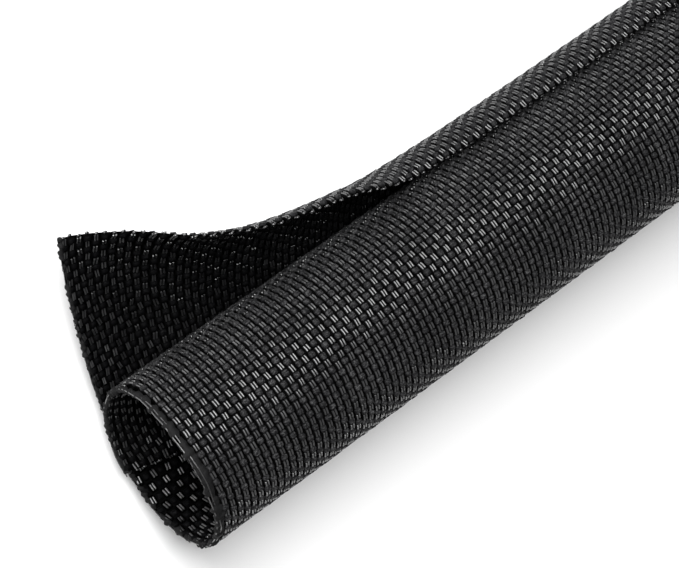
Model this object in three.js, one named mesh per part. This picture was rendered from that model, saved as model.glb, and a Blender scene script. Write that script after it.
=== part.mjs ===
// A split braided cable sleeve: one strip of black woven fabric, heat-set so that it rolls itself
// lengthwise into a tube and closes over a bundle of cables with a wide overlap.
// It lies on a level floor, rolled over onto its overlap. Millimetres, +Z up. The tube runs along X
// with its open end at -X, and +Y is to the left of someone who looks into that end.
import * as THREE from "three";
import { mergeVertices } from "three/addons/utils/BufferGeometryUtils.js";

// Sizes of the roll
const LENGTH = 305;
const BORE = 25;
const WALL = 0.9;
const LAYER_GAP = 0.4;
// An arc in which the first turn steps out over the selvedge that it starts from
const STEP_ARC = THREE.MathUtils.degToRad(90);
// Places of the inner selvedge, turned to the left from the top of the tube
const INNER_EDGE_AT_MOUTH = THREE.MathUtils.degToRad(191);
const INNER_EDGE_CLOSED = THREE.MathUtils.degToRad(216.5);

// The flap is the free part of the outer turn. It stands open at the mouth and closes along the tube.
const OPEN_LENGTH = 153;
const OPEN_EASE = 8;
// Where the flap leaves the tube, turned to the left from the top
const FLAP_ROOT_AT_MOUTH = THREE.MathUtils.degToRad(170.2);
const FLAP_ROOT_CLOSED = THREE.MathUtils.degToRad(235.5);
// Where the closed flap ends, and how far it stands off the turn below it, on average
const FREE_EDGE_CLOSED = THREE.MathUtils.degToRad(68.5);
const STAND_OFF = 2;
// Curl of the flap at even steps from its root to its free edge, as shares of an even curl
const CURL_AT_MOUTH = [-0.06, 0.06, 0.11, 0.12, 0.15];
const CURL_CLOSED = [0.1, 1.44, 0.81, 0.7, 2.57];
// The cut end isn't quite square: it runs back at the free corner and a quarter turn from the inner
// selvedge.
const CORNER_SET_BACK = 4.7;
const RIM_SET_BACK = 1.3;
const RIM_SET_BACK_AT = THREE.MathUtils.degToRad(85);
const RIM_SET_BACK_REACH = THREE.MathUtils.degToRad(45);

// Steps of the faceted surface
const LENGTH_STEPS = 32;
const LENGTH_STEP_GROWTH = 1.6;
const WIDTH_STEPS = 72;
const MARCHES_PER_STEP = 6;

// Sizes that follow from the ones above
const MIDDLE_RADIUS = (BORE + WALL) / 2;
const TURN_PITCH = WALL + LAYER_GAP;
const FULL_TURN = 2 * Math.PI;
const FLAP_RADIUS = MIDDLE_RADIUS + STAND_OFF;
const STRIP_WIDTH = tubeArc(INNER_EDGE_CLOSED + FULL_TURN - FLAP_ROOT_CLOSED)
  + FLAP_RADIUS * (FLAP_ROOT_CLOSED - FREE_EDGE_CLOSED);

// How far open the flap is at a distance from the mouth: 1 at the mouth, 0 where it is closed.
function openness(distance) {
  return Math.max(0, 1 - distance / OPEN_LENGTH) ** OPEN_EASE;
}

// The radius of the tube's middle surface after a turn of the given angle from the inner selvedge.
function tubeRadius(turned) {
  const start = THREE.MathUtils.smoothstep(turned, 0, STEP_ARC);
  const over = THREE.MathUtils.smoothstep(turned - FULL_TURN, 0, STEP_ARC);
  return MIDDLE_RADIUS + TURN_PITCH * (start - 1 + over);
}

// The length of the strip that a turn of the given angle takes up.
function tubeArc(angle) {
  const steps = 360;
  let arc = 0;
  for (let i = 0; i < steps; i++) arc += (tubeRadius(((i + 0.5) / steps) * angle) * angle) / steps;
  return arc;
}

// The value at a share of the way through a list of values at even steps.
function along(values, share) {
  const place = Math.min(share, 1) * (values.length - 1);
  const step = Math.min(Math.floor(place), values.length - 2);
  return THREE.MathUtils.lerp(values[step], values[step + 1], place - step);
}

// A point of the tube's section, with the heading of the strip there, leaned from +Z towards +Y.
function tubePoint(innerEdge, turned) {
  const angle = innerEdge - turned;
  const radius = tubeRadius(turned);
  return { y: radius * Math.sin(angle), z: radius * Math.cos(angle), lean: angle - Math.PI / 2 };
}

// The next point of the flap after a short step across the strip.
function flapPoint(from, step, share, open) {
  const curl = THREE.MathUtils.lerp(along(CURL_CLOSED, share), along(CURL_AT_MOUTH, share), open);
  const lean = from.lean - (curl / FLAP_RADIUS) * step;
  return { y: from.y + Math.sin(lean) * step, z: from.z + Math.cos(lean) * step, lean };
}

// The middle line of the strip across one section, from the inner selvedge to the free edge,
// in steps of one length, so that the strip keeps its width all along the sleeve.
function sectionLine(distance) {
  const open = openness(distance);
  const innerEdge = THREE.MathUtils.lerp(INNER_EDGE_CLOSED, INNER_EDGE_AT_MOUTH, open);
  const flapRoot = THREE.MathUtils.lerp(FLAP_ROOT_CLOSED, FLAP_ROOT_AT_MOUTH, open);
  const rootTurned = innerEdge + FULL_TURN - flapRoot;
  const flapStart = tubeArc(rootTurned);
  const march = STRIP_WIDTH / WIDTH_STEPS / MARCHES_PER_STEP;
  let turned = 0;
  let point = tubePoint(innerEdge, turned);
  const line = [point];
  for (let i = 1; i <= WIDTH_STEPS * MARCHES_PER_STEP; i++) {
    const onTube = Math.min(march, (rootTurned - turned) * tubeRadius(turned));
    if (onTube > 0) {
      turned += onTube / tubeRadius(turned);
      point = tubePoint(innerEdge, turned);
    }
    if (onTube < march) {
      const share = (i * march - flapStart) / (STRIP_WIDTH - flapStart);
      point = flapPoint(point, march - Math.max(onTube, 0), Math.max(share, 0), open);
    }
    if (i % MARCHES_PER_STEP === 0) line.push(point);
  }
  return line;
}

// How far the cut at the mouth runs back at a share of the strip's width.
function setBack(across) {
  const turned = (across * STRIP_WIDTH) / MIDDLE_RADIUS;
  const rim = Math.exp(-(((turned - RIM_SET_BACK_AT) / RIM_SET_BACK_REACH) ** 2));
  return CORNER_SET_BACK * across ** 4 + RIM_SET_BACK * rim;
}

// The flat strip, as a box with one cell through its wall, rolled vertex by vertex.
function rolledStrip() {
  const strip = new THREE.BoxGeometry(1, 1, 1, LENGTH_STEPS, WIDTH_STEPS, 1);
  strip.deleteAttribute("normal");
  strip.deleteAttribute("uv");
  const rolled = mergeVertices(strip);
  const lines = Array.from({ length: LENGTH_STEPS + 1 }, (_, i) => {
    const distance = LENGTH * (i / LENGTH_STEPS) ** LENGTH_STEP_GROWTH;
    return { distance, points: sectionLine(distance) };
  });
  const position = rolled.getAttribute("position");
  for (let i = 0; i < position.count; i++) {
    const { distance, points } = lines[Math.round((position.getX(i) + 0.5) * LENGTH_STEPS)];
    const across = position.getY(i) + 0.5;
    const point = points[Math.round(across * WIDTH_STEPS)];
    const inward = position.getZ(i) * WALL;
    position.setXYZ(
      i,
      distance + setBack(across) * (1 - distance / LENGTH),
      point.y - Math.cos(point.lean) * inward,
      point.z + Math.sin(point.lean) * inward,
    );
  }
  return rolled;
}

// Seats a geometry on the floor, with the middle of its outline over the origin.
function seated(geometry) {
  geometry.computeBoundingBox();
  const { min, max } = geometry.boundingBox;
  return geometry.translate(-(min.x + max.x) / 2, -(min.y + max.y) / 2, -min.z);
}

const blackYarn = new THREE.MeshStandardMaterial({ color: 0x1c1c1e, roughness: 0.75, metalness: 0 });
const sleeve = new THREE.Mesh(seated(rolledStrip()), blackYarn);
sleeve.name = "woven_sleeve";

export default new THREE.Group().add(sleeve);
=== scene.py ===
# %% [markdown]
# # A split braided cable sleeve
# One strip of black fabric is woven flat, set with heat so that it curls up, and rolled lengthwise
# round a bundle of cables. Stiff shiny threads run round the tube in pairs and keep it round. Soft
# matt yarns run along it. The free part of the outer turn, the flap, stands open at the near end.
#
# The solid model gives the rolled strip as a plain wall. This script follows the same rule for the
# roll, weaves real threads over it, and adds the details of its edges. Lengths are in metres.

# %% Load the solid model as the frame
import math

import bmesh
import bpy
import numpy as np
from mathutils import Matrix


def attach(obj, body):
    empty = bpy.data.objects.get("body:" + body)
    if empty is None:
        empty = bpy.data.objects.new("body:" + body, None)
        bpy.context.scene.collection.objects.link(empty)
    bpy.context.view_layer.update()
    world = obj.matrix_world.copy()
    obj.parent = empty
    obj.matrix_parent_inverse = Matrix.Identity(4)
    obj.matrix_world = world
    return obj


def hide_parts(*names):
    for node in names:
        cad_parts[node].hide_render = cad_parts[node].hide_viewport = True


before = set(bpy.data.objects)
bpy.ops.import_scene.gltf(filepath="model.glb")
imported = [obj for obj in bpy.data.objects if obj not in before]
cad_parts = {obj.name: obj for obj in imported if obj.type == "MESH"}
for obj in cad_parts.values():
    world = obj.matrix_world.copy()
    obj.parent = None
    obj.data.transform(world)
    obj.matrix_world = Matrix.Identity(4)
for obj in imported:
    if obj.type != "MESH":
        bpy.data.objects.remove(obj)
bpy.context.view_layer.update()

# %% [markdown]
# ## Camera
# The camera comes first, because it decides how fine the threads must be. Its place, its line of
# sight and its tilt were fitted to the outline of the sleeve. It looks down over the open end with
# a long lens, and it is turned on its side with the sleeve, which has rolled onto its overlap.

# %% Camera
EYE = (-0.29090, 0.13703, 0.36281)
RIGHT = np.array([0.73834, -0.40117, 0.54215])
SIGHT = np.array([0.42954, -0.34003, -0.83659])
LENS = 147.6

camera_data = bpy.data.cameras.new("camera")
camera_data.lens = LENS
camera_data.clip_start, camera_data.clip_end = 0.01, 10
camera = bpy.data.objects.new("camera", camera_data)
bpy.context.collection.objects.link(camera)


def turned_to(sight, right):
    """The turn of a camera or light that looks along sight, with right to its right."""
    up = np.cross(right, sight)
    turn = np.eye(4)
    turn[:3, :3] = np.column_stack([right, up, -sight])
    return turn


camera_turn = turned_to(SIGHT, RIGHT)
camera_turn[:3, 3] = EYE
camera.matrix_world = Matrix(camera_turn.tolist())
bpy.context.scene.camera = camera
print("camera lens:", LENS, "mm, height:", EYE[2])

# %% [markdown]
# ## Floor and light
# A plain white floor and one soft light, as in a small product studio, with a white sky to fill the
# shadows. The light is long across the sleeve and narrow along it, so each filament shows one thin
# bright line over a broad band of the tube. It leaves the inside of the flap dark and drops a soft
# shadow at the lower right. The floor burns out to white, as in a catalogue picture.

# %% Floor and light
FLOOR_SIZE = 6.0
CARD_WHITE = 0.86
SKY_STRENGTH = 0.27
LIT_PLACE = (-0.08, -0.01, 0.015)

floor_mesh = bpy.data.meshes.new("floor")
half = FLOOR_SIZE / 2
floor_mesh.from_pydata(
    [(-half, -half, 0), (half, -half, 0), (half, half, 0), (-half, half, 0)], [], [(0, 1, 2, 3)]
)
floor = bpy.data.objects.new("floor", floor_mesh)
bpy.context.collection.objects.link(floor)

white_card = bpy.data.materials.new("white_card")
white_card.use_nodes = True
card_shader = white_card.node_tree.nodes["Principled BSDF"]
card_shader.inputs["Base Color"].default_value = (CARD_WHITE, CARD_WHITE, CARD_WHITE, 1)
card_shader.inputs["Roughness"].default_value = 0.9
floor_mesh.materials.append(white_card)


def soft_light(name, way, distance, along, across, power):
    """A soft light that looks at the near half of the sleeve from the direction way."""
    way = np.array(way) / np.linalg.norm(way)
    data = bpy.data.lights.new(name, "AREA")
    data.shape, data.size, data.size_y, data.energy = "RECTANGLE", across, along, power
    light = bpy.data.objects.new(name, data)
    side = np.cross(-way, (1.0, 0.0, 0.0))
    side /= np.linalg.norm(side)
    turn = turned_to(-way, side)
    turn[:3, 3] = np.array(LIT_PLACE) + way * distance
    light.matrix_world = Matrix(turn.tolist())
    bpy.context.collection.objects.link(light)


soft_light(
    "key_light", way=(-0.30, 0.60, 0.79), distance=0.75, along=0.36, across=0.62, power=12.3
)

sky = bpy.data.worlds.new("sky")
sky.use_nodes = True
sky.node_tree.nodes["Background"].inputs["Color"].default_value = (1, 1, 1, 1)
sky.node_tree.nodes["Background"].inputs["Strength"].default_value = SKY_STRENGTH
bpy.context.scene.world = sky
bpy.context.scene.view_settings.view_transform = "Standard"

# %% [markdown]
# ## The rolled strip
# The whole sleeve is one strip, so everything on it can be placed by two numbers: how far across
# the strip, from the inner selvedge to the free edge, and how far along it, from the mouth. The
# rule for the roll is the one that the solid follows. The tube is a circle that steps out over its
# own first edge, and the flap leaves it with a curl that changes from the mouth to the closed part.

# %% Sizes of the roll
LENGTH = 0.305
MIDDLE_RADIUS = 0.01295
TURN_PITCH = 0.0013
STAND_OFF = 0.002
STEP_ARC = math.radians(90)
FULL_TURN = 2 * math.pi
INNER_EDGE_AT_MOUTH, INNER_EDGE_CLOSED = math.radians(191), math.radians(216.5)
FLAP_ROOT_AT_MOUTH, FLAP_ROOT_CLOSED = math.radians(170.2), math.radians(235.5)
FREE_EDGE_CLOSED = math.radians(68.5)
FLAP_RADIUS = MIDDLE_RADIUS + STAND_OFF
OPEN_LENGTH, OPEN_EASE = 0.153, 8
CURL_AT_MOUTH = (-0.06, 0.06, 0.11, 0.12, 0.15)
CURL_CLOSED = (0.1, 1.44, 0.81, 0.7, 2.57)
CORNER_SET_BACK, RIM_SET_BACK = 0.0047, 0.0013
RIM_SET_BACK_AT, RIM_SET_BACK_REACH = math.radians(85), math.radians(45)
# Place of the tube's middle at the mouth, in the frame of the solid
MOUTH_MIDDLE = (-0.152518, -0.011272, 0.016236)
ARC_STEPS = 360


def eased(value, low, high):
    """0 up to low, 1 from high, and a smooth ramp between."""
    share = np.clip((value - low) / (high - low), 0, 1)
    return share * share * (3 - 2 * share)


def openness(distance):
    """How far open the flap is: 1 at the mouth, 0 where it is closed."""
    return np.clip(1 - distance / OPEN_LENGTH, 0, None) ** OPEN_EASE


def tube_radius(turned):
    """Radius of the strip's middle after a turn from the inner selvedge."""
    over = eased(turned - FULL_TURN, 0, STEP_ARC)
    return MIDDLE_RADIUS + TURN_PITCH * (eased(turned, 0, STEP_ARC) - 1 + over)


def tube_arc(angle):
    """Length of strip in a turn of each angle in a list."""
    shares = (np.arange(ARC_STEPS) + 0.5) / ARC_STEPS
    return tube_radius(np.outer(angle, shares)).mean(axis=1) * angle


STRIP_WIDTH = float(
    tube_arc(np.array([INNER_EDGE_CLOSED + FULL_TURN - FLAP_ROOT_CLOSED]))[0]
    + FLAP_RADIUS * (FLAP_ROOT_CLOSED - FREE_EDGE_CLOSED)
)
print("width of the strip:", round(STRIP_WIDTH, 5))

# %% [markdown]
# The section changes along the sleeve, so it is worked out once on a fine grid: for every station
# along the strip, a march in short equal steps across it. Later steps look places up in that grid.

# %% March across the strip at every station
MARCHES = 432
WEFT_ROWS = 242
ROW_PITCH = LENGTH / WEFT_ROWS
stations = np.arange(WEFT_ROWS + 1) * ROW_PITCH


def march_sections():
    """Place and heading of the strip's middle line, for each march and station."""
    is_open = openness(stations)
    inner_edge = INNER_EDGE_CLOSED + (INNER_EDGE_AT_MOUTH - INNER_EDGE_CLOSED) * is_open
    flap_root = FLAP_ROOT_CLOSED + (FLAP_ROOT_AT_MOUTH - FLAP_ROOT_CLOSED) * is_open
    root_turned = inner_edge + FULL_TURN - flap_root
    flap_start = tube_arc(root_turned)
    step = STRIP_WIDTH / MARCHES
    turned = np.zeros_like(stations)
    radius = tube_radius(turned)
    y, z = radius * np.sin(inner_edge), radius * np.cos(inner_edge)
    lean = inner_edge - math.pi / 2
    lines = [np.stack([y, z, lean])]
    curl_steps = np.linspace(0, 1, len(CURL_CLOSED))
    for i in range(1, MARCHES + 1):
        on_tube = np.minimum(step, (root_turned - turned) * tube_radius(turned))
        on_tube = np.maximum(on_tube, 0)
        moved = on_tube > 0
        turned = turned + on_tube / tube_radius(turned)
        radius = tube_radius(turned)
        angle = inner_edge - turned
        y = np.where(moved, radius * np.sin(angle), y)
        z = np.where(moved, radius * np.cos(angle), z)
        lean = np.where(moved, angle - math.pi / 2, lean)
        rest = step - on_tube
        share = np.clip((i * step - flap_start) / (STRIP_WIDTH - flap_start), 0, 1)
        curl = np.interp(share, curl_steps, CURL_CLOSED) * (1 - is_open)
        curl += np.interp(share, curl_steps, CURL_AT_MOUTH) * is_open
        lean = lean - curl / FLAP_RADIUS * rest
        y, z = y + np.sin(lean) * rest, z + np.cos(lean) * rest
        lines.append(np.stack([y, z, lean]))
    return np.stack(lines)


sections = march_sections()
print("grid of the strip:", sections.shape)

# %% [markdown]
# The cloth is soft, so the real flap lies a little nearer the tube than the plain rule says. Just
# past the mouth it gives way by a millimetre, and on the closed part its free edge comes down by
# three. At the mouth itself nothing moves. Each pair of numbers is where a change starts and ends.

# %% Places on the strip
FLAP_SETTLE, EDGE_SETTLE = 0.0011, 0.0031
FLAP_SETTLES_ACROSS, FLAP_SETTLES_ALONG = (0.080, 0.102), (0.010, 0.019)
# The flap's share fades where the flap closes, and sooner along the free edge
FLAP_FADES_ALONG, FLAP_FADE = (0.040, 0.055), 0.9
EDGE_FADES_ACROSS, EDGE_FADES_ALONG, EDGE_FADE = (0.113, STRIP_WIDTH), (0.026, 0.040), 0.5
EDGE_SETTLES_FROM, EDGE_SETTLES_ALONG, EDGE_SETTLE_POWER = 0.106, (0.041, 0.055), 1.2


def set_back(across):
    """How far the cut at the mouth runs back at each place across the strip."""
    rim = (across / MIDDLE_RADIUS - RIM_SET_BACK_AT) / RIM_SET_BACK_REACH
    return CORNER_SET_BACK * (across / STRIP_WIDTH) ** 4 + RIM_SET_BACK * np.exp(-(rim**2))


def settled(across, distance):
    """How far the real flap lies down towards the tube, past the plain rule of the roll."""
    flap = FLAP_SETTLE * eased(across, *FLAP_SETTLES_ACROSS) * eased(distance, *FLAP_SETTLES_ALONG)
    flap *= 1 - FLAP_FADE * eased(distance, *FLAP_FADES_ALONG)
    flap *= 1 - EDGE_FADE * eased(across, *EDGE_FADES_ACROSS) * eased(distance, *EDGE_FADES_ALONG)
    share = np.clip((across - EDGE_SETTLES_FROM) / (STRIP_WIDTH - EDGE_SETTLES_FROM), 0, 1)
    edge = EDGE_SETTLE * share**EDGE_SETTLE_POWER
    return flap + edge * eased(distance, *EDGE_SETTLES_ALONG)


def on_strip(across, distance, height=0.0):
    """Places in the frame of the solid, height out of the middle of the cloth."""
    across, distance = np.broadcast_arrays(np.asarray(across, float), np.asarray(distance, float))
    height = height - settled(across, distance)
    a = np.clip(across / STRIP_WIDTH, 0, 1) * MARCHES
    d = np.clip(distance / LENGTH, 0, 1) * WEFT_ROWS
    i, j = np.minimum(a.astype(int), MARCHES - 1), np.minimum(d.astype(int), WEFT_ROWS - 1)
    u, v = (a - i)[:, None], (d - j)[:, None]
    near = sections[i, :, j] * (1 - u) + sections[i + 1, :, j] * u
    far = sections[i, :, j + 1] * (1 - u) + sections[i + 1, :, j + 1] * u
    y, z, lean = (near * (1 - v) + far * v).T
    beyond = across - np.clip(across, 0, STRIP_WIDTH)
    y, z = y + np.sin(lean) * beyond, z + np.cos(lean) * beyond
    x = distance + set_back(np.clip(across, 0, STRIP_WIDTH)) * (1 - distance / LENGTH)
    places = np.stack([x, y + np.cos(lean) * height, z - np.sin(lean) * height], axis=1)
    return places + MOUTH_MIDDLE


print("free corner at the mouth:", on_strip([STRIP_WIDTH], [0.0])[0].round(4))

# %% [markdown]
# ## Where the yarns run
# The soft yarns lie along the strip, 1.15 mm apart. Near the mouth the opened flap drags the inner
# selvedge round, but on the tube itself the yarns stay straight along it. So a yarn is counted from
# the inner selvedge, and the cloth is drawn together or apart a little where nobody sees it.

# %% Count of yarns to place across the strip
WARP_PITCH = 0.00115
WARP_YARNS = 104
EDGE_DRAG = MIDDLE_RADIUS * (INNER_EDGE_CLOSED - INNER_EDGE_AT_MOUTH)
DRAG_STARTS, DRAG_ENDS = (0, 0.0175), (0.065, 0.086)
SOLVE_ROUNDS, SOLVE_SHARE = 12, 0.6
fine_across = np.linspace(0, STRIP_WIDTH, 1200)
dragged = eased(fine_across, *DRAG_STARTS) * (1 - eased(fine_across, *DRAG_ENDS))


def across_at(yarn, distance):
    """Places across the strip of yarns, at distances from the mouth."""
    yarn, distance = np.broadcast_arrays(np.asarray(yarn, float), np.asarray(distance, float))
    wanted = yarn * STRIP_WIDTH / WARP_YARNS
    across = wanted.copy()
    for _ in range(SOLVE_ROUNDS):
        drag = EDGE_DRAG * openness(distance) * np.interp(across, fine_across, dragged)
        across = across + SOLVE_SHARE * (wanted - across - drag)
    return across


tried = across_at([52, 52], [0.0, 0.2]).round(5)
print("yarn 52 lies across at", tried, "at the mouth and at 200 mm")

# %% [markdown]
# ## Finishes
# The threads are one polymer, black, in two forms. A single thick filament is smooth and shiny, so
# each pair shows a bright line where the light catches it. A yarn of many thin filaments scatters
# the light and looks matt, with fine lines along it, partly its grain and partly painted glints,
# and with painted shade towards its roots. Both get a shade of their own on each crossing,
# because no two are packed alike. Inside the roll the threads get painted shade, and the yarns
# there are a darker copy with less sheen. The cut end is the same polymer, melted and set again.

# %% Helpers for finishes
def new_finish(name):
    finish = bpy.data.materials.new(name)
    finish.use_nodes = True
    return finish, finish.node_tree, finish.node_tree.nodes["Principled BSDF"]


def add_node(tree, kind, **settings):
    """A new node, with each setting given to a property or an input of that name."""
    node = tree.nodes.new(kind)
    for name, value in settings.items():
        if hasattr(node, name):
            setattr(node, name, value)
        else:
            node.inputs[name.replace("_", " ")].default_value = value
    return node


def set_ramp(node, low, high):
    """Give a ramp its two colours."""
    for element, colour in zip(node.color_ramp.elements, (low, high), strict=True):
        element.color = (*colour, 1)


def ramp(tree, source, low, high):
    """A grey between two blacks, by a value from 0 to 1."""
    node = add_node(tree, "ShaderNodeValToRGB")
    set_ramp(node, low, high)
    tree.links.new(source, node.inputs["Fac"])
    return node.outputs["Color"]


def add_bump(tree, shader, source, strength, distance):
    """Relief from a value."""
    node = add_node(tree, "ShaderNodeBump", Strength=strength, Distance=distance)
    tree.links.new(source, node.inputs["Height"])
    tree.links.new(node.outputs["Normal"], shader.inputs["Normal"])


def add_gloss(tree, shader, source, low, high):
    """Roughness between two values, by a value from 0 to 1."""
    node = add_node(tree, "ShaderNodeMapRange", To_Min=low, To_Max=high)
    tree.links.new(source, node.inputs["Value"])
    tree.links.new(node.outputs["Result"], shader.inputs["Roughness"])


# %% Shiny single filament
shiny_thread, tree, shader = new_finish("shiny_thread")
shade = add_node(tree, "ShaderNodeAttribute", attribute_name="shade")
black = ramp(tree, shade.outputs["Fac"], (0.0015, 0.0015, 0.002), (0.026, 0.026, 0.027))
tree.links.new(black, shader.inputs["Base Color"])
place = add_node(tree, "ShaderNodeTexCoord")
scuffs = add_node(tree, "ShaderNodeTexNoise", Scale=2600.0, Detail=2.0)
tree.links.new(place.outputs["Object"], scuffs.inputs["Vector"])
add_gloss(tree, shader, scuffs.outputs["Fac"], 0.27, 0.46)
shader.inputs["Specular IOR Level"].default_value = 1.0
shader.inputs["IOR"].default_value = 1.65

# %% Matt yarn of many filaments
matt_yarn, tree, shader = new_finish("matt_yarn")
lay = add_node(tree, "ShaderNodeUVMap", uv_map="along_yarn")
place = add_node(tree, "ShaderNodeTexCoord")
stretch = add_node(tree, "ShaderNodeMapping")
stretch.inputs["Scale"].default_value = (1.6, 4.2, 1.0)
tree.links.new(lay.outputs["UV"], stretch.inputs["Vector"])
# All crossings share one shape, so their places in the room give each its own fibres
wander = add_node(tree, "ShaderNodeVectorMath", operation="MULTIPLY_ADD")
wander.inputs[1].default_value = (900, 900, 900)
tree.links.new(place.outputs["Object"], wander.inputs[0])
tree.links.new(stretch.outputs["Vector"], wander.inputs[2])
fibres = add_node(tree, "ShaderNodeTexNoise", Scale=1.0, Detail=5.0, Roughness=0.85)
tree.links.new(wander.outputs["Vector"], fibres.inputs["Vector"])
# Lighter fibre streaks in the colour: partly the yarn's own grain, partly painted glints of its
# fibres
streaks_and_glints = add_node(tree, "ShaderNodeMapRange", From_Min=0.48, From_Max=0.65)
tree.links.new(fibres.outputs["Fac"], streaks_and_glints.inputs["Value"])
rise = add_node(tree, "ShaderNodeAttribute", attribute_name="rise")
shade = add_node(tree, "ShaderNodeAttribute", attribute_name="shade")
packed = add_node(tree, "ShaderNodeMapRange", To_Min=0.06, To_Max=1.0)
tree.links.new(shade.outputs["Fac"], packed.inputs["Value"])
toned_streaks = add_node(tree, "ShaderNodeMath", operation="MULTIPLY")
tree.links.new(streaks_and_glints.outputs["Result"], toned_streaks.inputs[0])
tree.links.new(packed.outputs["Result"], toned_streaks.inputs[1])
# Painted shade: the colour darkens towards the roots of the bead, by its share of height
shaded_roots = add_node(tree, "ShaderNodeMath", operation="MULTIPLY")
tree.links.new(toned_streaks.outputs["Value"], shaded_roots.inputs[0])
tree.links.new(rise.outputs["Fac"], shaded_roots.inputs[1])
black = ramp(tree, shaded_roots.outputs["Value"], (0.0015, 0.0015, 0.002), (0.105, 0.105, 0.107))
tree.links.new(black, shader.inputs["Base Color"])
add_bump(tree, shader, fibres.outputs["Fac"], 0.9, 0.00008)
shader.inputs["Roughness"].default_value = 0.7
shader.inputs["Specular IOR Level"].default_value = 0.16

# %% Yarn with painted shade, for the inside of the roll
pressed_yarn = matt_yarn.copy()
pressed_yarn.name = "pressed_yarn"
shaded_inside_shader = pressed_yarn.node_tree.nodes["Principled BSDF"]
shaded_inside_shader.inputs["Specular IOR Level"].default_value = 0.04
for node in pressed_yarn.node_tree.nodes:
    if node.type == "VALTORGB":
        set_ramp(node, (0.0008, 0.0008, 0.001), (0.020, 0.020, 0.021))

# %% Ground of the cloth, between the threads, painted near black as shade
dark_ground, tree, shader = new_finish("dark_ground")
weave_at = add_node(tree, "ShaderNodeUVMap", uv_map="weave_count")
checks = add_node(tree, "ShaderNodeTexChecker", Scale=1.0)
tree.links.new(weave_at.outputs["UV"], checks.inputs["Vector"])
# Painted shade: the ground is near black, darker than the threads, for the shade in the gaps and in
# the unwoven parts of the bore
checks.inputs["Color1"].default_value = (0.0005, 0.0005, 0.0005, 1)
checks.inputs["Color2"].default_value = (0.002, 0.002, 0.002, 1)
tree.links.new(checks.outputs["Color"], shader.inputs["Base Color"])
split = add_node(tree, "ShaderNodeSeparateXYZ")
tree.links.new(weave_at.outputs["UV"], split.inputs["Vector"])
weave_height = add_node(tree, "ShaderNodeMath", operation="MULTIPLY")
for i, axis in enumerate(("X", "Y")):
    turn = add_node(tree, "ShaderNodeMath", operation="MULTIPLY")
    turn.inputs[1].default_value = math.pi
    tree.links.new(split.outputs[axis], turn.inputs[0])
    wave = add_node(tree, "ShaderNodeMath", operation="SINE")
    tree.links.new(turn.outputs["Value"], wave.inputs[0])
    tree.links.new(wave.outputs["Value"], weave_height.inputs[i])
add_bump(tree, shader, weave_height.outputs["Value"], 1.0, 0.0003)
shader.inputs["Roughness"].default_value = 0.8
shader.inputs["Specular IOR Level"].default_value = 0.0

# %% Melted edge
melted_edge, tree, shader = new_finish("melted_edge")
place = add_node(tree, "ShaderNodeTexCoord")
drips = add_node(tree, "ShaderNodeTexNoise", Scale=1300.0, Detail=5.0, Roughness=0.7)
tree.links.new(place.outputs["Object"], drips.inputs["Vector"])
black = ramp(tree, drips.outputs["Fac"], (0.0006, 0.0006, 0.0006), (0.012, 0.012, 0.0125))
tree.links.new(black, shader.inputs["Base Color"])
add_gloss(tree, shader, drips.outputs["Fac"], 0.5, 0.85)
add_bump(tree, shader, drips.outputs["Fac"], 0.8, 0.00025)
shader.inputs["Specular IOR Level"].default_value = 0.12
print("finishes:", [m.name for m in bpy.data.materials if not m.name.startswith("woven")])

# %% [markdown]
# ## The ground of the cloth
# Under the threads lies a thin closed sheet, the size of the strip. It stands for the parts of the
# threads that dive into the cloth, closes the tiny gaps against the light, and carries a count of
# the weave for its own relief. It is built by code from the grid, because its shape is the rule.

# %% Sheet under the threads
SHEET_HALF = 0.00013
ALONG_STEPS = 121
counts_across = np.arange(WARP_YARNS + 1)
counts_along = np.arange(ALONG_STEPS + 1) * (WEFT_ROWS / ALONG_STEPS)


def triangles(mesh):
    return sum(len(face.vertices) - 2 for face in mesh.polygons)


def add_piece(name, mesh, finish):
    piece = bpy.data.objects.new(name, mesh)
    bpy.context.collection.objects.link(piece)
    mesh.materials.append(finish)
    return piece


def sheet_mesh():
    """Two layers of faces a little apart, joined round the border."""
    along, across = np.meshgrid(counts_along, counts_across, indexing="ij")
    distance = along.ravel() * ROW_PITCH
    where = across_at(across.ravel(), distance)
    outer = on_strip(where, distance, SHEET_HALF)
    inner = on_strip(where, distance, -SHEET_HALF)
    rows, columns = len(counts_along), len(counts_across)
    index = np.arange(rows * columns).reshape(rows, columns)
    a, b = index[:-1, :-1].ravel(), index[:-1, 1:].ravel()
    c, d = index[1:, 1:].ravel(), index[1:, :-1].ravel()
    top = np.stack([a, b, c, d], axis=1)
    under = np.stack([a, d, c, b], axis=1) + rows * columns
    border = np.concatenate([index[0], index[1:, -1], index[-1, -2::-1], index[-2:0:-1, 0]])
    after = np.roll(border, -1)
    sides = np.stack([after, border, border + rows * columns, after + rows * columns], axis=1)
    faces = np.concatenate([top, under, sides])
    mesh = bpy.data.meshes.new("sleeve_cloth")
    mesh.from_pydata(np.concatenate([outer, inner]).tolist(), [], faces.tolist())
    counts = np.tile(np.stack([across.ravel(), along.ravel()], axis=1), (2, 1))
    layer = mesh.uv_layers.new(name="weave_count")
    layer.uv.foreach_set("vector", counts[faces.ravel()].astype(np.float32).ravel())
    mesh.shade_smooth()
    return mesh


cloth = add_piece("sleeve_cloth", sheet_mesh(), dark_ground)
print("cloth:", triangles(cloth.data), "triangles")

# %% [markdown]
# ## One crossing of each kind
# In a plain weave each crossing shows either the pair of shiny filaments or the soft yarn, in turn,
# like a chessboard. There are more than twenty thousand, so each is a shape of few faces. The
# filament is a square rod that smooth shading makes look round. It arches over the yarn, and its
# ends dive into the cloth. The shading breaks where it dives, so that the light draws one long line
# along its top. The yarn's crossing is a soft bead, wider than it is high.

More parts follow.
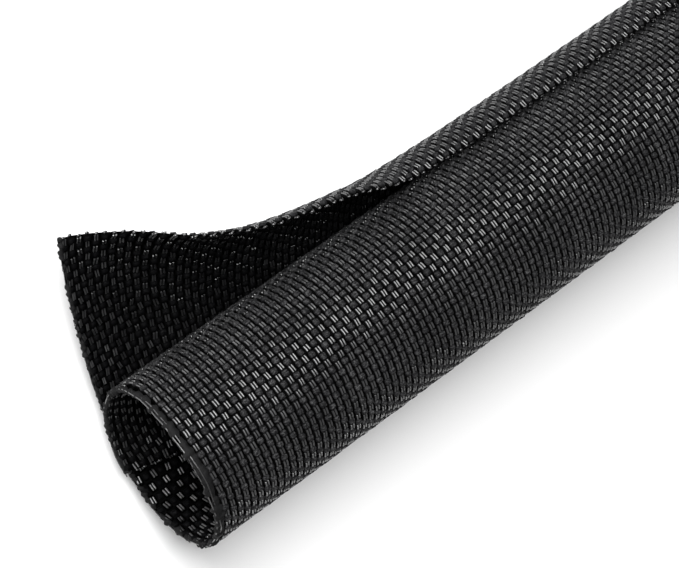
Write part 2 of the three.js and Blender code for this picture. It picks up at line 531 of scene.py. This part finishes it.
# %% Shapes of the crossings
FILAMENT_RADIUS = 0.00018
FILAMENT_GAP = 0.00022
FLOAT_REACH, FLOAT_SHOULDER = 0.00072, 0.00048
FLOAT_TOP, FLOAT_SHOULDER_TOP, DIVE = 0.00030, 0.00025, -0.00004
# Section of the bead, as shares of its half width and its height
BEAD_SECTION = ((-1, 0.2), (-0.55, 1), (0.55, 1), (1, 0.2), (0, -0.15))
MILLIMETRES = 1000


def capped_rod(rings, ends):
    """Points and faces of a closed rod through rings of points, drawn together at both ends."""
    points = [p for ring in rings for p in ring] + list(ends)
    sides, last = len(rings[0]), len(rings) - 1
    first_end, last_end = len(points) - 2, len(points) - 1
    faces = []
    for k in range(sides):
        n = (k + 1) % sides
        faces.append((first_end, k, n))
        for r in range(0, last * sides, sides):
            faces.append((r + k, r + sides + k, r + sides + n, r + n))
        faces.append((last_end, last * sides + n, last * sides + k))
    return points, faces


def holds(mesh):
    """The volume that a closed mesh holds, which is below zero where its faces point inwards."""
    bm = bmesh.new()
    bm.from_mesh(mesh)
    volume = bm.calc_volume(signed=True)
    bm.free()
    return volume


def crossing_mesh(name, parts, bend_at=None):
    """A closed shape from parts. Its smooth shading breaks at the bends, where a filament dives."""
    points, faces = [], []
    for part_points, part_faces in parts:
        faces += [tuple(i + len(points) for i in face) for face in part_faces]
        points += part_points
    mesh = bpy.data.meshes.new(name)
    mesh.from_pydata(points, [], faces)
    layer = mesh.uv_layers.new(name="along_yarn")
    for loop in mesh.loops:
        x, y, z = points[loop.vertex_index]
        layer.uv[loop.index].vector = (x * MILLIMETRES, y * MILLIMETRES)
    # Share of height, which the matt yarn uses to paint shade towards its roots
    highest = max(z for x, y, z in points)
    rise = mesh.attributes.new("rise", "FLOAT", "POINT")
    rise.data.foreach_set("value", [max(0.0, z / highest) for x, y, z in points])
    mesh.shade_smooth()
    if bend_at is not None:
        for edge in mesh.edges:
            start, stop = (points[i][0] for i in edge.vertices)
            edge.use_edge_sharp = start == stop and abs(start) == bend_at
    mesh.update()
    return mesh


def filament(side, arch):
    """One filament of a pair, along X. The arch gives the height of its middle at places on X."""
    r = FILAMENT_RADIUS
    rings = [
        [(x, side - r, top), (x, side, top + r), (x, side + r, top), (x, side, top - r)]
        for x, top in arch
    ]
    ends = ((-FLOAT_REACH, side, DIVE), (FLOAT_REACH, side, DIVE))
    return capped_rod(rings, ends)


def pair(name, arch):
    """Two filaments side by side."""
    parts = [filament(side, arch) for side in (-FILAMENT_GAP, FILAMENT_GAP)]
    return crossing_mesh(name, parts, FLOAT_SHOULDER)


def bead(half_length, half_width, height, shoulder_at):
    """A soft yarn along X, full between its shoulders and drawn to a point at both ends."""
    rings = [
        [(x, y * half_width, z * height) for y, z in BEAD_SECTION]
        for x in (-shoulder_at, shoulder_at)
    ]
    ends = ((-half_length, 0, 0.0), (half_length, 0, 0.0))
    return capped_rod(rings, ends)


shoulders = [(-FLOAT_SHOULDER, FLOAT_SHOULDER_TOP), (FLOAT_SHOULDER, FLOAT_SHOULDER_TOP)]
pair_fine = pair("pair_fine", [shoulders[0], (0, FLOAT_TOP), shoulders[1]])
pair_plain = pair("pair_plain", shoulders)
yarn_bead = crossing_mesh(
    "yarn_bead", [bead(half_length=0.00062, half_width=0.00059, height=0.0005, shoulder_at=0.00038)]
)
for mesh in (pair_fine, pair_plain, yarn_bead):
    print(mesh.name, triangles(mesh), "triangles, faces look out:", holds(mesh) > 0)

# %% [markdown]
# ## The loom
# A tree of nodes sets one shape on every crossing that it is given. Each crossing carries the way
# that its yarn runs and the way out of the cloth, so the tree can turn the shape to suit. A little
# seeded chance in size and turn keeps the weave from looking printed. The result is made real and
# gets its finish inside the tree, and the tree is taken off once its mesh has been copied.

# %% Helpers for trees
def new_tree(name, inputs, output):
    """A tree of geometry nodes with named inputs, with its first and last node."""
    tree = bpy.data.node_groups.new(name, "GeometryNodeTree")
    for label, kind in inputs:
        tree.interface.new_socket(name=label, in_out="INPUT", socket_type="NodeSocket" + kind)
    tree.interface.new_socket(name=output, in_out="OUTPUT", socket_type="NodeSocketGeometry")
    return tree, tree.nodes.new("NodeGroupInput"), tree.nodes.new("NodeGroupOutput")


def grown(carrier, tree, settings):
    """Run a tree on a carrier with its inputs set, and keep the result as its plain mesh."""
    nodes = carrier.modifiers.new(tree.name, "NODES")
    nodes.node_group = tree
    for item in tree.interface.items_tree:
        if item.in_out == "INPUT" and item.name in settings:
            nodes[item.identifier] = settings[item.name]
    bpy.context.view_layer.update()
    ready = carrier.evaluated_get(bpy.context.evaluated_depsgraph_get())
    plain = bpy.data.meshes.new_from_object(ready)
    carrier.modifiers.remove(nodes)
    given = carrier.data
    carrier.data = plain
    bpy.data.meshes.remove(given)
    plain.name = carrier.name


# %% Node tree that lays the crossings
def loom_tree():
    inputs = (
        ("Crossings", "Geometry"), ("Shape", "Object"), ("Finish", "Material"),
        ("Size chance", "Float"), ("Turn chance", "Float"), ("Seed", "Int"),
    )
    tree, given, done = new_tree("loom", inputs, "Threads")
    nodes, link = tree.nodes, tree.links.new

    def named(name):
        node = nodes.new("GeometryNodeInputNamedAttribute")
        node.data_type = "FLOAT_VECTOR"
        node.inputs["Name"].default_value = name
        return node.outputs["Attribute"]

    def chance(reach_socket, middle, seed_step):
        """A random value within reach of the middle, the same on every run."""
        low, high = nodes.new("ShaderNodeMath"), nodes.new("ShaderNodeMath")
        low.operation, high.operation = "SUBTRACT", "ADD"
        for node in (low, high):
            node.inputs[0].default_value = middle
            link(given.outputs[reach_socket], node.inputs[1])
        seed = nodes.new("FunctionNodeIntegerMath")
        seed.operation = "ADD"
        seed.inputs[1].default_value = seed_step
        link(given.outputs["Seed"], seed.inputs[0])
        value = nodes.new("FunctionNodeRandomValue")
        link(low.outputs[0], value.inputs[2])
        link(high.outputs[0], value.inputs[3])
        link(seed.outputs[0], value.inputs["Seed"])
        return value.outputs[1]

    def three_chances(reach_socket, middle, first_seed_step):
        """One chance for each axis."""
        joined = nodes.new("ShaderNodeCombineXYZ")
        for i in range(3):
            link(chance(reach_socket, middle, first_seed_step + i), joined.inputs[i])
        return joined.outputs[0]

    turn = nodes.new("FunctionNodeAxesToRotation")
    turn.primary_axis, turn.secondary_axis = "Z", "X"
    link(named("out"), turn.inputs["Primary Axis"])
    link(named("way"), turn.inputs["Secondary Axis"])
    shape = nodes.new("GeometryNodeObjectInfo")
    link(given.outputs["Shape"], shape.inputs["Object"])
    lay = nodes.new("GeometryNodeInstanceOnPoints")
    link(given.outputs["Crossings"], lay.inputs["Points"])
    link(shape.outputs["Geometry"], lay.inputs["Instance"])
    link(turn.outputs["Rotation"], lay.inputs["Rotation"])
    link(three_chances("Size chance", 1.0, 1), lay.inputs["Scale"])
    skew = nodes.new("GeometryNodeRotateInstances")
    link(lay.outputs["Instances"], skew.inputs["Instances"])
    link(three_chances("Turn chance", 0.0, 4), skew.inputs["Rotation"])
    real = nodes.new("GeometryNodeRealizeInstances")
    link(skew.outputs["Instances"], real.inputs["Geometry"])
    finish = nodes.new("GeometryNodeSetMaterial")
    link(real.outputs["Geometry"], finish.inputs["Geometry"])
    link(given.outputs["Finish"], finish.inputs["Material"])
    link(finish.outputs["Geometry"], done.inputs["Threads"])
    return tree


loom = loom_tree()
print("loom:", len(loom.nodes), "nodes")


def woven(name, points, out, way, shade, shape, finish, size_chance, turn_chance, seed):
    """A plain mesh of one shape laid on every point, as a new piece."""
    mesh = bpy.data.meshes.new(name + "_points")
    mesh.from_pydata(points.tolist(), [], [])
    for label, values in (("out", out), ("way", way)):
        layer = mesh.attributes.new(label, "FLOAT_VECTOR", "POINT")
        layer.data.foreach_set("vector", values.astype(np.float32).ravel())
    layer = mesh.attributes.new("shade", "FLOAT", "POINT")
    layer.data.foreach_set("value", shade.astype(np.float32))
    carrier = bpy.data.objects.new(name, mesh)
    bpy.context.collection.objects.link(carrier)
    shape_object = bpy.data.objects.new("shape_of_" + name, shape)
    bpy.context.collection.objects.link(shape_object)
    settings = {
        "Shape": shape_object, "Finish": finish, "Size chance": size_chance,
        "Turn chance": turn_chance, "Seed": seed,
    }
    grown(carrier, loom, settings)
    bpy.data.objects.remove(shape_object)
    for label in ("out", "way"):
        if label in carrier.data.attributes:
            carrier.data.attributes.remove(carrier.data.attributes[label])
    return carrier


# %% [markdown]
# ## Every crossing of the cloth
# The places come from the grid: yarn by yarn, row by row. The way along the yarn and the way round
# the tube are short steps on the strip, and the way out is square to both. Each crossing gets a
# shade, part chance and part a slow wave, as the packing of the threads changes over the cloth.

# %% Places and ways of the crossings
SHORT = 0.0003
WAVE_SHARE, WAVE_BY_ROW, WAVE_BY_YARN = 0.35, 0.37, 0.11

rows, yarns = np.meshgrid(np.arange(WEFT_ROWS), np.arange(WARP_YARNS), indexing="ij")
rows, yarns = rows.ravel(), yarns.ravel()
distance = (rows + 0.5) * ROW_PITCH
across = np.clip(across_at(yarns + 0.5, distance), FLOAT_REACH, STRIP_WIDTH - FLOAT_REACH)
middle = on_strip(across, distance)


def unit(vectors):
    return vectors / np.linalg.norm(vectors, axis=1, keepdims=True)


after = distance + SHORT
along_way = unit(on_strip(across_at(yarns + 0.5, after), after) - middle)
round_way = unit(on_strip(across + SHORT, distance) - on_strip(across - SHORT, distance))
outward = unit(np.cross(round_way, along_way))
section_out = unit(on_strip(across, distance, SHORT) - middle)
outward *= np.sign((outward * section_out).sum(axis=1, keepdims=True))
chance = np.random.default_rng(7)
wave = 0.5 + 0.5 * np.sin(rows * WAVE_BY_ROW + yarns * WAVE_BY_YARN)
shade = (1 - WAVE_SHARE) * chance.random(len(rows)) + WAVE_SHARE * wave
weft_on_top = (rows + yarns) % 2 == 0
print("crossings:", len(rows))

# %% [markdown]
# Only what can be seen is woven. Crossings under the overlap or deep in the dark of the bore are
# left to the relief of the ground, and so are those that the knife has melted. A hot knife leant
# harder on one side of the mouth, and the melt reaches further there.

# %% Which crossings can be seen
OVERLAP_HIDES, OVERLAP_EASE = 0.021, 6
RIM_REACH, RIM_REACH_MORE = 0.0006, 0.0007
LEANT_STARTS, LEANT_ENDS = (0.020, 0.028), (0.050, 0.060)
FLAP_SEEN_ACROSS, FLAP_SEEN_ALONG = 0.076, 0.078
EDGE_SEEN = 0.007
BORE_SEEN_AT_MOUTH, BORE_SEEN_AT_END = 0.042, 0.032


def leant(across):
    """1 where the hot knife leant on the rim of the mouth, 0 elsewhere."""
    return eased(across, *LEANT_STARTS) * (1 - eased(across, *LEANT_ENDS))


def melted(across):
    """How far the melt of the mouth reaches from the cut."""
    return RIM_REACH + RIM_REACH_MORE * leant(across)


covered = OVERLAP_HIDES * np.clip(1 - OVERLAP_EASE * openness(distance), 0, 1)
not_melted = (distance > melted(across)) & (distance < LENGTH - RIM_REACH)
outer_seen = (across > covered) & not_melted
flap_seen = (across > FLAP_SEEN_ACROSS) & (distance < FLAP_SEEN_ALONG)
edge_seen = across > STRIP_WIDTH - EDGE_SEEN
bore_seen = (distance < BORE_SEEN_AT_MOUTH) | (distance > LENGTH - BORE_SEEN_AT_END)
inner_seen = (flap_seen | edge_seen | bore_seen) & not_melted
print("seen outside:", int(outer_seen.sum()), "inside:", int(inner_seen.sum()))

# %% [markdown]
# The threads are laid in four bands along the sleeve, pairs and yarns apart, outside and inside
# apart. The outside is even. Inside, the threads get painted shade and lie less in line. Near
# the free edge the outside gets painted shade too.

# %% Lay the threads, band by band
BANDS = {"near": (0.0, 0.05), "middle": (0.05, 0.13), "far": (0.13, 0.218), "end": (0.218, 0.306)}
FINE_TO = 0.13
# For each side: name, way it faces, what is seen, finish of its yarns, chance in size and in turn
SIDES = (
    ("", 1, outer_seen, matt_yarn, 0.08, 0.09),
    ("inner_", -1, inner_seen, pressed_yarn, 0.12, 0.20),
)
# How much painted shade darkens the outside near the free edge, and where across the strip
EDGE_SHADE_DEPTH, EDGE_SHADE_FROM_TO = 0.45, (0.097, 0.104)
DARKEST_OUTSIDE, INSIDE_PAINTED_SHADE = 0.45, 0.6
FIRST_SEED, SEED_STEP = 3, 11

threads = []
seed = FIRST_SEED
for band, (start, stop) in BANDS.items():
    for side_name, facing, seen, soft_finish, size_chance, turn_chance in SIDES:
        outside = facing > 0
        for kind in ("pairs", "yarns"):
            shows = weft_on_top == ((kind == "pairs") == outside)
            pick = np.flatnonzero((distance >= start) & (distance < stop) & seen & shows)
            if outside:
                # Painted shade: the outside is made darker towards the free edge
                edge_painted_shade = 1 - EDGE_SHADE_DEPTH * eased(across[pick], *EDGE_SHADE_FROM_TO)
                shade_seen = edge_painted_shade * (DARKEST_OUTSIDE + (1 - DARKEST_OUTSIDE) * shade[pick])
            else:
                # Painted shade: inside the roll the threads are made darker
                shade_seen = INSIDE_PAINTED_SHADE * shade[pick] ** 2
            if kind == "pairs":
                shape = pair_fine if outside and stop <= FINE_TO else pair_plain
                way, finish = round_way, shiny_thread
            else:
                shape, way, finish = yarn_bead, along_way, soft_finish
            piece = woven(
                f"{side_name}{kind}_{band}", middle[pick], facing * outward[pick], way[pick],
                shade_seen, shape, finish, size_chance, turn_chance, seed,
            )
            seed += SEED_STEP
            threads.append(piece)
            print(piece.name, triangles(piece.data), "triangles")

# %% [markdown]
# ## Melted ends
# A hot knife cuts the sleeve to length, and the threads melt together in a lumpy rim about a
# millimetre wide that keeps them from fraying. It is a closed tube swept along the cut, flattened
# to the thickness of the cloth. Its lumps are seeded chance, smoothed along the rim. Where the
# knife didn't lean on it, the rim also swells at every yarn that ends in it.

# %% Rims of melted thread
RIM_STEPS, RIM_SIDES = 620, 8
RIM_HALF_WALL, RIM_OVERHANG = 0.00038, 0.0001
RIM_WIDTH_SHARE = 0.52
ROUNDED = 0.7
LUMPS, KNOB = 0.3, 0.24


def lumps(count, sides, reach, seed):
    """Smooth chance along a rim, for each of its sides."""
    rough = np.random.default_rng(seed).normal(0, 1, (count, sides))
    for _ in range(2):
        rough = (rough + np.roll(rough, 1, axis=0) + np.roll(rough, -1, axis=0)) / 3
        rough = (rough + 0.5 * np.roll(rough, 1, axis=1) + 0.5 * np.roll(rough, -1, axis=1)) / 2
    return 1 + reach * rough / rough.std()


def flattened(value):
    """A sine or cosine, drawn out so that a circle becomes a rounded box."""
    return math.copysign(abs(value) ** ROUNDED, value)


def rim_mesh(name, cut_at, inward, seed):
    """A lumpy closed tube along a cut across the strip. It reaches inward, which is 1 or -1."""
    across = np.linspace(-RIM_OVERHANG, STRIP_WIDTH + RIM_OVERHANG, RIM_STEPS)
    reach = melted(across) if inward > 0 else np.full(RIM_STEPS, RIM_REACH)
    half_width = RIM_WIDTH_SHARE * reach
    middle_at = cut_at + inward * (half_width - RIM_OVERHANG)
    size = lumps(RIM_STEPS, RIM_SIDES, LUMPS, seed)
    knobs = (1 - leant(across)) * np.cos(FULL_TURN * across / WARP_PITCH)
    size *= 1 + KNOB * knobs[:, None]
    points = []
    for k in range(RIM_SIDES):
        turn = FULL_TURN * k / RIM_SIDES
        out = flattened(math.cos(turn)) * half_width * size[:, k]
        height = flattened(math.sin(turn)) * RIM_HALF_WALL * size[:, k]
        points.append(on_strip(across, middle_at + out, height))
    points = np.stack(points, axis=1).reshape(-1, 3)
    faces = []
    for r in range(0, (RIM_STEPS - 1) * RIM_SIDES, RIM_SIDES):
        for k in range(RIM_SIDES):
            n = (k + 1) % RIM_SIDES
            faces.append((r + k, r + n, r + RIM_SIDES + n, r + RIM_SIDES + k))
    faces.append(tuple(reversed(range(RIM_SIDES))))
    faces.append(tuple(range((RIM_STEPS - 1) * RIM_SIDES, RIM_STEPS * RIM_SIDES)))
    mesh = bpy.data.meshes.new(name)
    mesh.from_pydata(points.tolist(), [], faces)
    facing = bmesh.new()
    facing.from_mesh(mesh)
    bmesh.ops.recalc_face_normals(facing, faces=facing.faces)
    facing.to_mesh(mesh)
    facing.free()
    mesh.shade_smooth()
    return mesh


mouth_rim = add_piece("melted_mouth", rim_mesh("melted_mouth", 0.0, 1, 21), melted_edge)
end_rim = add_piece("melted_far_end", rim_mesh("melted_far_end", LENGTH, -1, 22), melted_edge)
print("rims:", triangles(mouth_rim.data), "triangles each")

# %% [markdown]
# ## Loops along the selvedges
# At both long edges the pair of filaments turns round and goes back as the next pair. Each turn
# shows as a small shiny loop, one for every row, and they make the edge sparkle. The loop is half a
# ring, laid by the same loom on a point at the end of each row.

# %% Selvedge loops
LOOP_STEPS = 5
LOOP_REACH, LOOP_HALF_WIDTH = FILAMENT_GAP + 0.00014, FILAMENT_GAP + 0.00006
LOOP_HEIGHT, LOOP_SUNK, LOOP_ENDS_AT = 0.0001, 0.0002, -0.0002
LOOP_SHADE = 0.3


def loop_part():
    """Half a ring of filament that bulges along X, with its ends drawn in."""
    r = FILAMENT_RADIUS
    rings = []
    for step in range(1, LOOP_STEPS):
        turn = math.pi * (step / LOOP_STEPS - 0.5)
        out, side = math.cos(turn), math.sin(turn)
        x, y = out * LOOP_REACH, side * LOOP_HALF_WIDTH
        rings.append([
            (x - out * r, y - side * r, LOOP_HEIGHT),
            (x, y, LOOP_HEIGHT + r),
            (x + out * r, y + side * r, LOOP_HEIGHT),
            (x, y, LOOP_HEIGHT - r),
        ])
    ends = ((LOOP_ENDS_AT, -FILAMENT_GAP, 0.0), (LOOP_ENDS_AT, FILAMENT_GAP, 0.0))
    return capped_rod(rings, ends)


selvedge_loop = crossing_mesh("selvedge_loop", [loop_part()])
print("selvedge_loop, faces look out:", holds(selvedge_loop) > 0)
row_distance = (np.arange(WEFT_ROWS) + 0.5) * ROW_PITCH
up_or_down = np.where(np.arange(WEFT_ROWS) % 2, 1, -1)[:, None]
loop_points, loop_out, loop_way = [], [], []
for edge, facing_out in ((0.0, -1), (STRIP_WIDTH, 1)):
    at = np.full(WEFT_ROWS, edge - facing_out * LOOP_SUNK)
    here = on_strip(at, row_distance)
    inside = on_strip(at - facing_out * SHORT, row_distance)
    loop_points.append(here)
    loop_way.append(unit(here - inside))
    loop_out.append(unit(on_strip(at, row_distance, SHORT) - here) * up_or_down)
loops = woven(
    "selvedge_loops", *(np.concatenate(parts) for parts in (loop_points, loop_out, loop_way)),
    LOOP_SHADE * chance.random(2 * WEFT_ROWS), selvedge_loop, shiny_thread, 0.15, 0.25, 71,
)
print("loops:", triangles(loops.data), "triangles")

# %% [markdown]
# ## Threads caught in the rim
# The last pair of filaments before the cut lies half in the melt and shows as a thin bright line
# that comes and goes. A few ends have sprung loose. They are drawn as chains of points, and a
# second tree turns the chains into round filaments.

# %% Node tree for loose filaments
def filament_tree():
    inputs = (("Chains", "Geometry"), ("Radius", "Float"), ("Sides", "Int"), ("Finish", "Material"))
    tree, given, done = new_tree("filament", inputs, "Filaments")
    nodes, link = tree.nodes, tree.links.new
    line = nodes.new("GeometryNodeMeshToCurve")
    link(given.outputs["Chains"], line.inputs["Mesh"])
    ring = nodes.new("GeometryNodeCurvePrimitiveCircle")
    link(given.outputs["Sides"], ring.inputs["Resolution"])
    link(given.outputs["Radius"], ring.inputs["Radius"])
    tube = nodes.new("GeometryNodeCurveToMesh")
    link(line.outputs["Curve"], tube.inputs["Curve"])
    link(ring.outputs["Curve"], tube.inputs["Profile Curve"])
    tube.inputs["Fill Caps"].default_value = True
    real = nodes.new("GeometryNodeRealizeInstances")
    link(tube.outputs["Mesh"], real.inputs["Geometry"])
    finish = nodes.new("GeometryNodeSetMaterial")
    link(real.outputs["Geometry"], finish.inputs["Geometry"])
    link(given.outputs["Finish"], finish.inputs["Material"])
    smooth = nodes.new("GeometryNodeSetShadeSmooth")
    link(finish.outputs["Geometry"], smooth.inputs["Geometry"])
    link(smooth.outputs["Geometry"], done.inputs["Filaments"])
    return tree


filaments = filament_tree()
print("filament tree:", len(filaments.nodes), "nodes")


def drawn_filaments(name, chains, radius, finish):
    """Round filaments along chains of points, as a new piece."""
    points, edges = [], []
    for chain in chains:
        first = len(points)
        points += [tuple(p) for p in chain]
        edges += [(first + i, first + i + 1) for i in range(len(chain) - 1)]
    mesh = bpy.data.meshes.new(name + "_chains")
    mesh.from_pydata(points, edges, [])
    carrier = bpy.data.objects.new(name, mesh)
    bpy.context.collection.objects.link(carrier)
    grown(carrier, filaments, {"Radius": radius, "Sides": 5, "Finish": finish})
    return carrier


# %% Filaments in the rim
# Each thread in a rim: distance from the mouth, and height out of the middle of the cloth
RIM_THREADS = ((0.0, 0.00016), (0.00038, 0.00024), (LENGTH - 0.0001, 0.0002))
RIM_THREAD_ENDS, RIM_THREAD_STEPS = 0.0002, 520
SWAY, SWAY_TURNS = 0.00005, 60
RISE, RISE_TURNS = 0.00013, 46

rim_across = np.linspace(RIM_THREAD_ENDS, STRIP_WIDTH - RIM_THREAD_ENDS, RIM_THREAD_STEPS)
rim_chance = np.random.default_rng(5)


def wander_along_rim(turns):
    """A chance value that changes smoothly along the rim."""
    return np.interp(rim_across, np.linspace(0, STRIP_WIDTH, turns), rim_chance.normal(0, 1, turns))


rim_chains = []
for at_distance, height in RIM_THREADS:
    sway, rise_fall = wander_along_rim(SWAY_TURNS), wander_along_rim(RISE_TURNS)
    rim_chains.append(
        on_strip(rim_across, at_distance + SWAY * sway, height + RISE * rise_fall)
    )
rim_threads = drawn_filaments("rim_threads", rim_chains, 0.00010, shiny_thread)
print("rim threads:", triangles(rim_threads.data), "triangles")

# %% Loose ends
LOOSE_ENDS, LOOSE_STEPS = 12, 14
LOOSE_FROM, LOOSE_BOW, LOOSE_BEND_POWER, LOOSE_LIFT = 0.0002, 0.6 * math.pi, 1.5, 0.2
# Least and most of where a loose end starts, how far it bends, how far it reaches, and how high
LOOSE_RANGES = ((0.086, 0.118), (-0.0012, 0.0012), (0.0, 0.0002), (-0.0003, 0.0004))
LONG_ENDS = ((0.0865, -0.0050, 0.0006, 0.0007), (0.0835, -0.0042, 0.0003, 0.0010))


def loose_end(start, bend, reach, height):
    """A sprung filament: it leaves the cut at start and bows out ahead of it."""
    share = np.linspace(0, 1, LOOSE_STEPS)
    at_distance = LOOSE_FROM - reach * np.sin(share * LOOSE_BOW)
    across = start + bend * share**LOOSE_BEND_POWER
    return on_strip(across, at_distance, height * (LOOSE_LIFT + share))


drawn = [rim_chance.uniform(low, high, LOOSE_ENDS) for low, high in LOOSE_RANGES]
loose_chains = [loose_end(*sizes) for sizes in (*zip(*drawn, strict=True), *LONG_ENDS)]
loose_ends = drawn_filaments("loose_ends", loose_chains, 0.00009, shiny_thread)
print("loose ends:", len(loose_chains))

# %% [markdown]
# ## Hand the pieces over
# The cloth replaces the plain solid. It is a sheet of known flat size, and the threads and edges go
# with it. Everything rides on the one body.

pieces = [cloth, *threads, mouth_rim, end_rim, loops, rim_threads, loose_ends]
for piece in pieces:
    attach(piece, "root")
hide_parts("woven_sleeve")
total = sum(triangles(piece.data) for piece in pieces)
print("pieces:", len(pieces), "with", total, "triangles in all")
